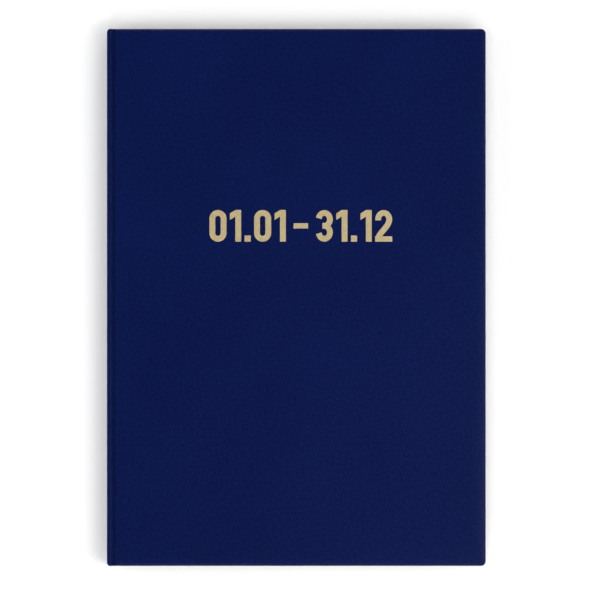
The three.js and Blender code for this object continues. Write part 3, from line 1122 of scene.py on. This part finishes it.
    def build_spine_cloth(self) -> bpy.types.Object:
        """Makes the cloth over the spine strip, wrapped over its head and tail and turned in."""
        head, tail, top = self.layout.head, self.layout.spine_tail, self.layout.top
        straight = spaced(head - self.cap_length, tail + self.cap_length, self.along_steps)
        path = self.wrap_path(head, 1)
        path += [(self.layout.spine_face, y, self.shoulder) for y in straight]
        path += self.wrap_path(tail, -1)[::-1]
        surface = Surface()
        surface.add_rows([[(x, y, z) for z in spaced(side, top - side, FOLD_STEPS)] for x, y, side in path])
        piece = build_sheet("spine_cloth_skin", surface, Vector((-1, 0, 0)), self.layout.cloth * STRETCHED)
        return self.fit(piece, Slot.CLOTH, "spine_cloth", Body.SPINE.value)

    def build_strip(self) -> bpy.types.Object:
        """Makes the board strip in the spine, with its corners rounded like the cloth over it."""
        low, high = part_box("spine_strip")
        bevel, inner = self.strip_bevel, self.strip_inner_corner
        outer = self.corner - (low.x - self.layout.spine_face) + self.strip_play
        rings = []
        for inset, z in ((bevel, low.z), (0.0, low.z + bevel), (0.0, high.z - bevel), (bevel, high.z)):
            x0, x1, y0, y1 = low.x + inset, high.x - inset, low.y + inset, high.y - inset
            line = quarter((x0 + outer, y0 + outer), (outer, outer), 180)
            line += quarter((x1 - inner, y0 + inner), (inner, inner), 270)
            line += quarter((x1 - inner, y1 - inner), (inner, inner), 0)
            line += quarter((x0 + outer, y1 - outer), (outer, outer), 90)
            rings.append([(x, y, z) for x, y in line])
        piece = build_body("spine_strip_pressed", rings)
        return self.fit(piece, Slot.BOARD, "spine_strip", Body.SPINE.value)

    def build(self) -> list[bpy.types.Object]:
        """Makes the spine's pieces."""
        return [self.build_strip(), self.build_spine_cloth(), *self.build_joints()]


@dataclass
class SewnBlock(SubAssembly):
    """The sewn block: folded sheets, single leaves, flyleaves, sewing and lining."""

    rng: random.Random
    sections: int = 6
    sheet_share: float = 0.9
    trim_play: float = 0.10 * MM
    turning_leaves: int = 6
    bend_from: float = -0.5 * MM
    left_curve: float = 9 * MM
    right_curve: float = 38 * MM
    gutter: float = 40 * MM
    fold_lap: float = 0.5 * MM
    fold_gap: float = 0.03 * MM
    lining_bend: float = 0.8 * MM

    def trim(self) -> float:
        """How far the knife cut one edge of a sheet back."""
        return self.rng.uniform(0.0, self.trim_play)

    def build_section(self, number: int) -> bpy.types.Object:
        """Makes one section as its nested folded sheets.

        Args:
            number: Number of the section, from the front.

        Returns:
            The section.
        """
        node = f"section_{number}"
        low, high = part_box(node)
        leaf_low, leaf_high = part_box("leaf_1")
        sheets = max(round((high.z - low.z) / (leaf_high.z - leaf_low.z) / 2), 1)
        radius, middle = (high.z - low.z) / 2, (low.z + high.z) / 2
        bend = self.layout.block_back + radius
        half = radius / sheets * self.sheet_share / 2
        lofts = []
        for sheet in range(sheets):
            fore = self.layout.block_fore - self.trim()
            head = self.layout.block_head - self.trim()
            tail = -self.layout.block_head + self.trim()
            ring = []
            for offset, order in ((half, 1), (-half, -1)):
                arm = radius * (sheet + 0.5) / sheets + offset
                arc = [(bend - arm * math.sin(a), middle + arm * math.cos(a)) for a in spaced(0.0, math.pi)]
                ring += [(fore, middle + arm), *arc, (fore, middle - arm)][::order]
            lofts.append([[(x, y, z) for x, z in ring] for y in (tail, head)])
        piece = build_body(f"{node}_sheets", *lofts)
        return self.fit(piece, Slot.PAGE, node, frame["nodes"][node]["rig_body"])

    def build_leaf(self, node: str, name: str) -> bpy.types.Object:
        """Makes a single leaf as a thin closed body, finely divided near the gutter.

        Args:
            node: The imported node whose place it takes.
            name: Name of the piece.

        Returns:
            The leaf.
        """
        low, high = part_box(node)
        gutter = low.x + self.gutter
        across = spaced(low.x, gutter, 40) + spaced(gutter, high.x - self.trim(), 12)[1:]
        along = spaced(low.y + self.trim(), high.y - self.trim(), 10)
        edge = [(y, high.z) for y in along] + [(y, low.z) for y in reversed(along)]
        return build_body(name, [[(x, y, z) for y, z in edge] for x in across])

    def build_turning_leaf(self, number: int) -> bpy.types.Object:
        """Makes one leaf that turns by itself, lying flat; its curve out of the gutter is not made.

        Args:
            number: Number of the leaf, from the front.

        Returns:
            The leaf.
        """
        node, body = f"leaf_{number}", f"turning_leaf_{number}"
        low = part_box(node)[0]
        curve = self.left_curve if number <= self.turning_leaves // 2 else self.right_curve
        start, end = ((low.x + past, 0.0, low.z) for past in (self.bend_from, curve))
        bend = Bend(Body.BACK_COVER.value, body, start, end)
        return self.fit(self.build_leaf(node, f"{body}_sheet"), Slot.PAGE, node, bend)

    def build_flyleaf(self, side: Side) -> bpy.types.Object:
        """Makes the free half of an endpaper.

        Args:
            side: Which end of the block it belongs to.

        Returns:
            The flyleaf.
        """
        node = f"{side.value}_flyleaf"
        body = Body.BACK_COVER if side is Side.BACK else Body.FRONT_BLOCK
        return self.fit(self.build_leaf(node, f"{node}_sheet"), Slot.ENDPAPER, node, body.value)

    def build_fold(self, side: Side) -> bpy.types.Object:
        """Makes the fold of an endpaper, across the joint from the board to the block.

        Args:
            side: Which endpaper it belongs to.

        Returns:
            The fold.
        """
        node = f"{side.value}_endpaper_fold"
        layout, level = self.layout, self.layout.level
        board_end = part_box(f"{side.value}_pastedown")[0].x
        block_end = layout.block_back + self.fold_lap
        block_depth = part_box("back_flyleaf")[0].z - self.fold_gap
        thickness = level(side, layout.paper) - level(side, 0.0)
        along = layout.steps_over_turn_in(layout.block_head)
        depths = [(y, layout.paste_depth(board_end, y)) for y in along]
        rings = []
        for share in spaced(0.0, 1.0, 12):
            x = board_end + (block_end - board_end) * share
            far = [(x, y, level(side, depth + (block_depth - depth) * ease(share))) for y, depth in depths]
            rings.append([(x, y, z - thickness) for x, y, z in far] + far[::-1])
        follows = Body.BACK_COVER.value
        if side is Side.FRONT:
            start, end = ((x, 0.0, layout.top) for x in (block_end, board_end))
            follows = Bend(Body.FRONT_HINGE.value, Body.FRONT_COVER.value, start, end)
        return self.fit(build_body(f"{node}_sheet", rings), Slot.ENDPAPER, node, follows)

    def build_lining(self) -> bpy.types.Object:
        """Makes the gauze lining, lying flat; its bend where the block opens is not made."""
        low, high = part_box("spine_lining")
        outline = [(low.x, y) for y in spaced(low.y, high.y, 16)]
        outline += [(high.x, y) for y in spaced(high.y, low.y, 16)]
        rings = [[(x, y, z) for x, y in outline] for z in spaced(low.z, high.z, 40)]
        middle = (low.z + high.z) / 2
        start, end = ((low.x, 0.0, middle + off) for off in (-self.lining_bend, self.lining_bend))
        bend = Bend(Body.BACK_COVER.value, Body.FRONT_BLOCK.value, start, end)
        return self.fit(build_body("spine_lining_gauze", rings), Slot.LINING, "spine_lining", bend)

    def build(self) -> list[bpy.types.Object]:
        """Makes the block's pieces, and dresses its sewing."""
        made = [self.build_section(number) for number in range(1, self.sections + 1)]
        made += [self.build_turning_leaf(number) for number in range(1, self.turning_leaves + 1)]
        for side in Side:
            made += [self.build_flyleaf(side), self.build_fold(side)]
        dress_nodes("sewing_thread", self.finishes[Slot.THREAD])
        return made + [self.build_lining()]


@dataclass(frozen=True)
class SoftLight:
    """A square light that faces the book."""

    name: str
    place: Point
    size: float
    power: float

    def build(self) -> None:
        """Makes the light."""
        data = bpy.data.lights.new(self.name, "AREA")
        data.shape = "SQUARE"
        data.size = self.size
        data.energy = self.power
        lamp = bpy.data.objects.new(self.name, data)
        lamp.location = self.place
        lamp.rotation_euler = (-Vector(self.place)).to_track_quat("-Z", "Y").to_euler()
        bpy.context.scene.collection.objects.link(lamp)


@dataclass
class Studio:
    """Floor, lights and camera."""

    layout: Layout
    frame_width: float = 328.37 * MM
    lens: float = 250.0
    sensor: float = 36.0
    look: Pair = (0.39 * MM, 0.25 * MM)
    floor_half: float = 3.0
    floor_drop: float = 0.1 * MM
    floor_colour: Colour = (0.94, 0.94, 0.94)
    horizon: float = 0.74
    overhead: float = 0.07
    fade: Pair = (0.0, 0.9)
    lights: tuple[SoftLight, ...] = (
        SoftLight("key_right", (0.72, -0.45, 1.30), 0.7, 8.4),
        SoftLight("fill_right", (1.70, 0.00, 1.10), 1.2, 12.5),
        SoftLight("fill_left", (-1.90, -0.10, 0.90), 1.6, 29),
        SoftLight("fill_head", (0.10, 1.75, 1.15), 1.4, 15),
        SoftLight("fill_tail", (-0.10, -1.60, 1.30), 1.0, 14),
    )

    def build_floor(self) -> None:
        """Makes the plain pale floor under the book."""
        steps = spaced(-self.floor_half, self.floor_half, 2)
        surface = Surface()
        surface.add_rows([[(x, y, -self.floor_drop) for x in steps] for y in steps])
        floor = build_object("studio_floor", surface)
        face_outward(floor, Vector((0, 0, 1)))
        board = NodeBoard("studio_floor")
        pale = board.finish(Base_Color=self.floor_colour, Roughness=0.9, Specular_IOR_Level=0.1)
        floor.data.materials.append(pale)

    def build_world(self) -> None:
        """Makes the light around the scene, pale at the horizon and dark overhead."""
        world = bpy.data.worlds.new("studio_world")
        world.use_nodes = True
        tree = world.node_tree
        place = tree.nodes.new("ShaderNodeTexCoord")
        parts = tree.nodes.new("ShaderNodeSeparateXYZ")
        fall = tree.nodes.new("ShaderNodeMapRange")
        fall.inputs["From Min"].default_value, fall.inputs["From Max"].default_value = self.fade
        fall.inputs["To Min"].default_value = self.horizon
        fall.inputs["To Max"].default_value = self.overhead
        tree.links.new(place.outputs["Generated"], parts.inputs["Vector"])
        tree.links.new(parts.outputs["Z"], fall.inputs["Value"])
        tree.links.new(fall.outputs["Result"], tree.nodes["Background"].inputs["Strength"])
        tree.nodes["Background"].inputs["Color"].default_value = (1.0, 1.0, 1.0, 1.0)
        bpy.context.scene.world = world

    def build_camera(self) -> None:
        """Makes the camera, straight above the front cover."""
        data = bpy.data.cameras.new("camera")
        data.lens = self.lens
        data.sensor_width = self.sensor
        data.clip_end = 20.0
        camera = bpy.data.objects.new("camera", data)
        distance = self.frame_width * self.lens / self.sensor
        camera.location = (*self.look, self.layout.top + distance)
        bpy.context.scene.collection.objects.link(camera)
        bpy.context.scene.camera = camera

    def build(self) -> None:
        """Makes the whole studio."""
        self.build_floor()
        for light in self.lights:
            light.build()
        self.build_world()
        bpy.context.scene.view_settings.view_transform = "Standard"
        bpy.context.scene.view_settings.look = "None"
        self.build_camera()


def main() -> None:
    """Builds the book and its studio."""
    logging.basicConfig(level=logging.INFO, format="%(name)s: %(message)s")
    layout = Layout.read()
    finishes = make_finishes((layout.block_back + layout.block_fore) / 2)
    Studio(layout).build()
    parts = [
        CoverShell(layout, finishes, Side.BACK),
        SpineCase(layout, finishes),
        SewnBlock(layout, finishes, random.Random(SEED)),
        CoverShell(layout, finishes, Side.FRONT),
    ]
    for part in parts:
        for piece in part.build():
            LOG.info("%s: %d points", piece.name, len(piece.data.vertices))
    dress_nodes("foil_figure", finishes[Slot.FOIL])


if __name__ == "__main__":
    main()
